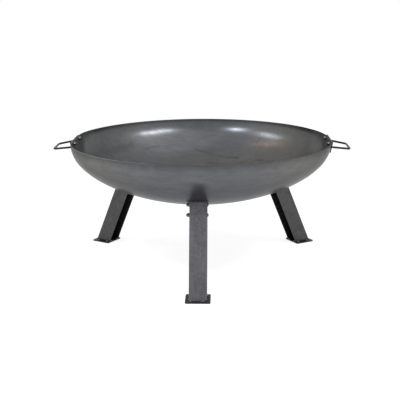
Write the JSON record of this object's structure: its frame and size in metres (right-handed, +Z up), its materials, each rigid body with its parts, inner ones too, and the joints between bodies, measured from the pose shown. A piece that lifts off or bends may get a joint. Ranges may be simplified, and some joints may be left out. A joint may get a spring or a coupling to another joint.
{
  "type": "fire pit",
  "caption": "Round dished steel fire bowl on splayed channel legs with foot plates, with a bent-rod carrying handle bolted to each side of the rim.",
  "frame": {"origin": "on the ground, straight below the middle of the bowl; the overall box reaches 11 mm further towards the front leg than towards the back, so its bottom centre is 5 mm in front of the origin", "axes": "+Z up; -Y towards the front leg; +X towards the right-hand handle, seen from the front leg's side"},
  "size_m": [0.9034, 0.8105, 0.3829],
  "materials": {
    "bowl_steel": "bare hot-rolled steel, lightly oiled, satin, with faint handling marks",
    "leg_steel": "bare folded steel sheet, satin, with fine grain along its length",
    "foot_steel": "bare hot-rolled plate, dull, darker round the welds",
    "bracket_steel": "bare folded sheet, dull",
    "handle_steel": "bare steel rod and flat bar, dull, dark at the welds",
    "fastener_steel": "bright zinc-plated steel"
  },
  "bodies": {
    "root": {"bowl": "bowl_steel", "foot_plate_front": "foot_steel", "leg_front": "leg_steel", "leg_bracket_front": "bracket_steel", "leg_front_upper_bolt": "fastener_steel", "leg_front_upper_washer": "fastener_steel", "leg_front_upper_nut": "fastener_steel", "leg_front_lower_bolt": "fastener_steel", "leg_front_lower_washer": "fastener_steel", "leg_front_lower_nut": "fastener_steel", "foot_plate_right": "foot_steel", "leg_right": "leg_steel", "leg_bracket_right": "bracket_steel", "leg_right_upper_bolt": "fastener_steel", "leg_right_upper_washer": "fastener_steel", "leg_right_upper_nut": "fastener_steel", "leg_right_lower_bolt": "fastener_steel", "leg_right_lower_washer": "fastener_steel", "leg_right_lower_nut": "fastener_steel", "foot_plate_left": "foot_steel", "leg_left": "leg_steel", "leg_bracket_left": "bracket_steel", "leg_left_upper_bolt": "fastener_steel", "leg_left_upper_washer": "fastener_steel", "leg_left_upper_nut": "fastener_steel", "leg_left_lower_bolt": "fastener_steel", "leg_left_lower_washer": "fastener_steel", "leg_left_lower_nut": "fastener_steel", "handle_right_rod": "handle_steel", "handle_right_plate": "handle_steel", "handle_right_front_bolt": "fastener_steel", "handle_right_front_washer": "fastener_steel", "handle_right_front_nut": "fastener_steel", "handle_right_back_bolt": "fastener_steel", "handle_right_back_washer": "fastener_steel", "handle_right_back_nut": "fastener_steel", "handle_left_rod": "handle_steel", "handle_left_plate": "handle_steel", "handle_left_front_bolt": "fastener_steel", "handle_left_front_washer": "fastener_steel", "handle_left_front_nut": "fastener_steel", "handle_left_back_bolt": "fastener_steel", "handle_left_back_washer": "fastener_steel", "handle_left_back_nut": "fastener_steel"}
  },
  "joints": []
}
